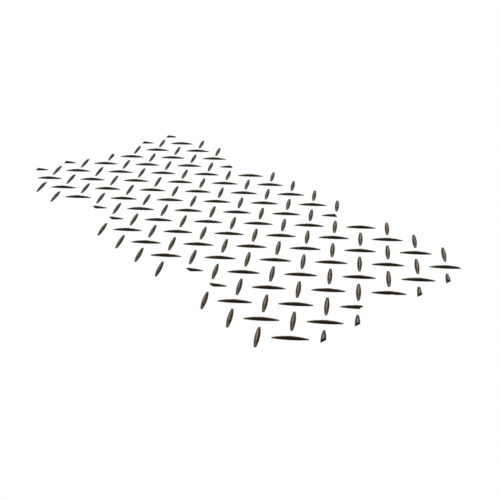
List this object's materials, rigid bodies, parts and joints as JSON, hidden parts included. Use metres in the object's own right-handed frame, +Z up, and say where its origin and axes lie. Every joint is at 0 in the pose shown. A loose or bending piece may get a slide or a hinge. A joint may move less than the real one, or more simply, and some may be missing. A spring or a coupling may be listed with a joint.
{
  "type": "ground protection mat",
  "caption": "Flat rectangular plastic ground protection sheet with a lens-bar tread on top, hand slots along the long sides and bolt holes across the ends.",
  "frame": {"origin": "under the middle of the sheet, on the plane it lies on", "axes": "+X along the sheet's length, +Y across its width, +Z up out of the treaded face"},
  "size_m": [2.44, 1.22, 0.032],
  "materials": {
    "moulded_plastic": "satin black moulded polyethylene, slightly dusty"
  },
  "bodies": {
    "root": {"ground_mat": "moulded_plastic"}
  },
  "joints": []
}
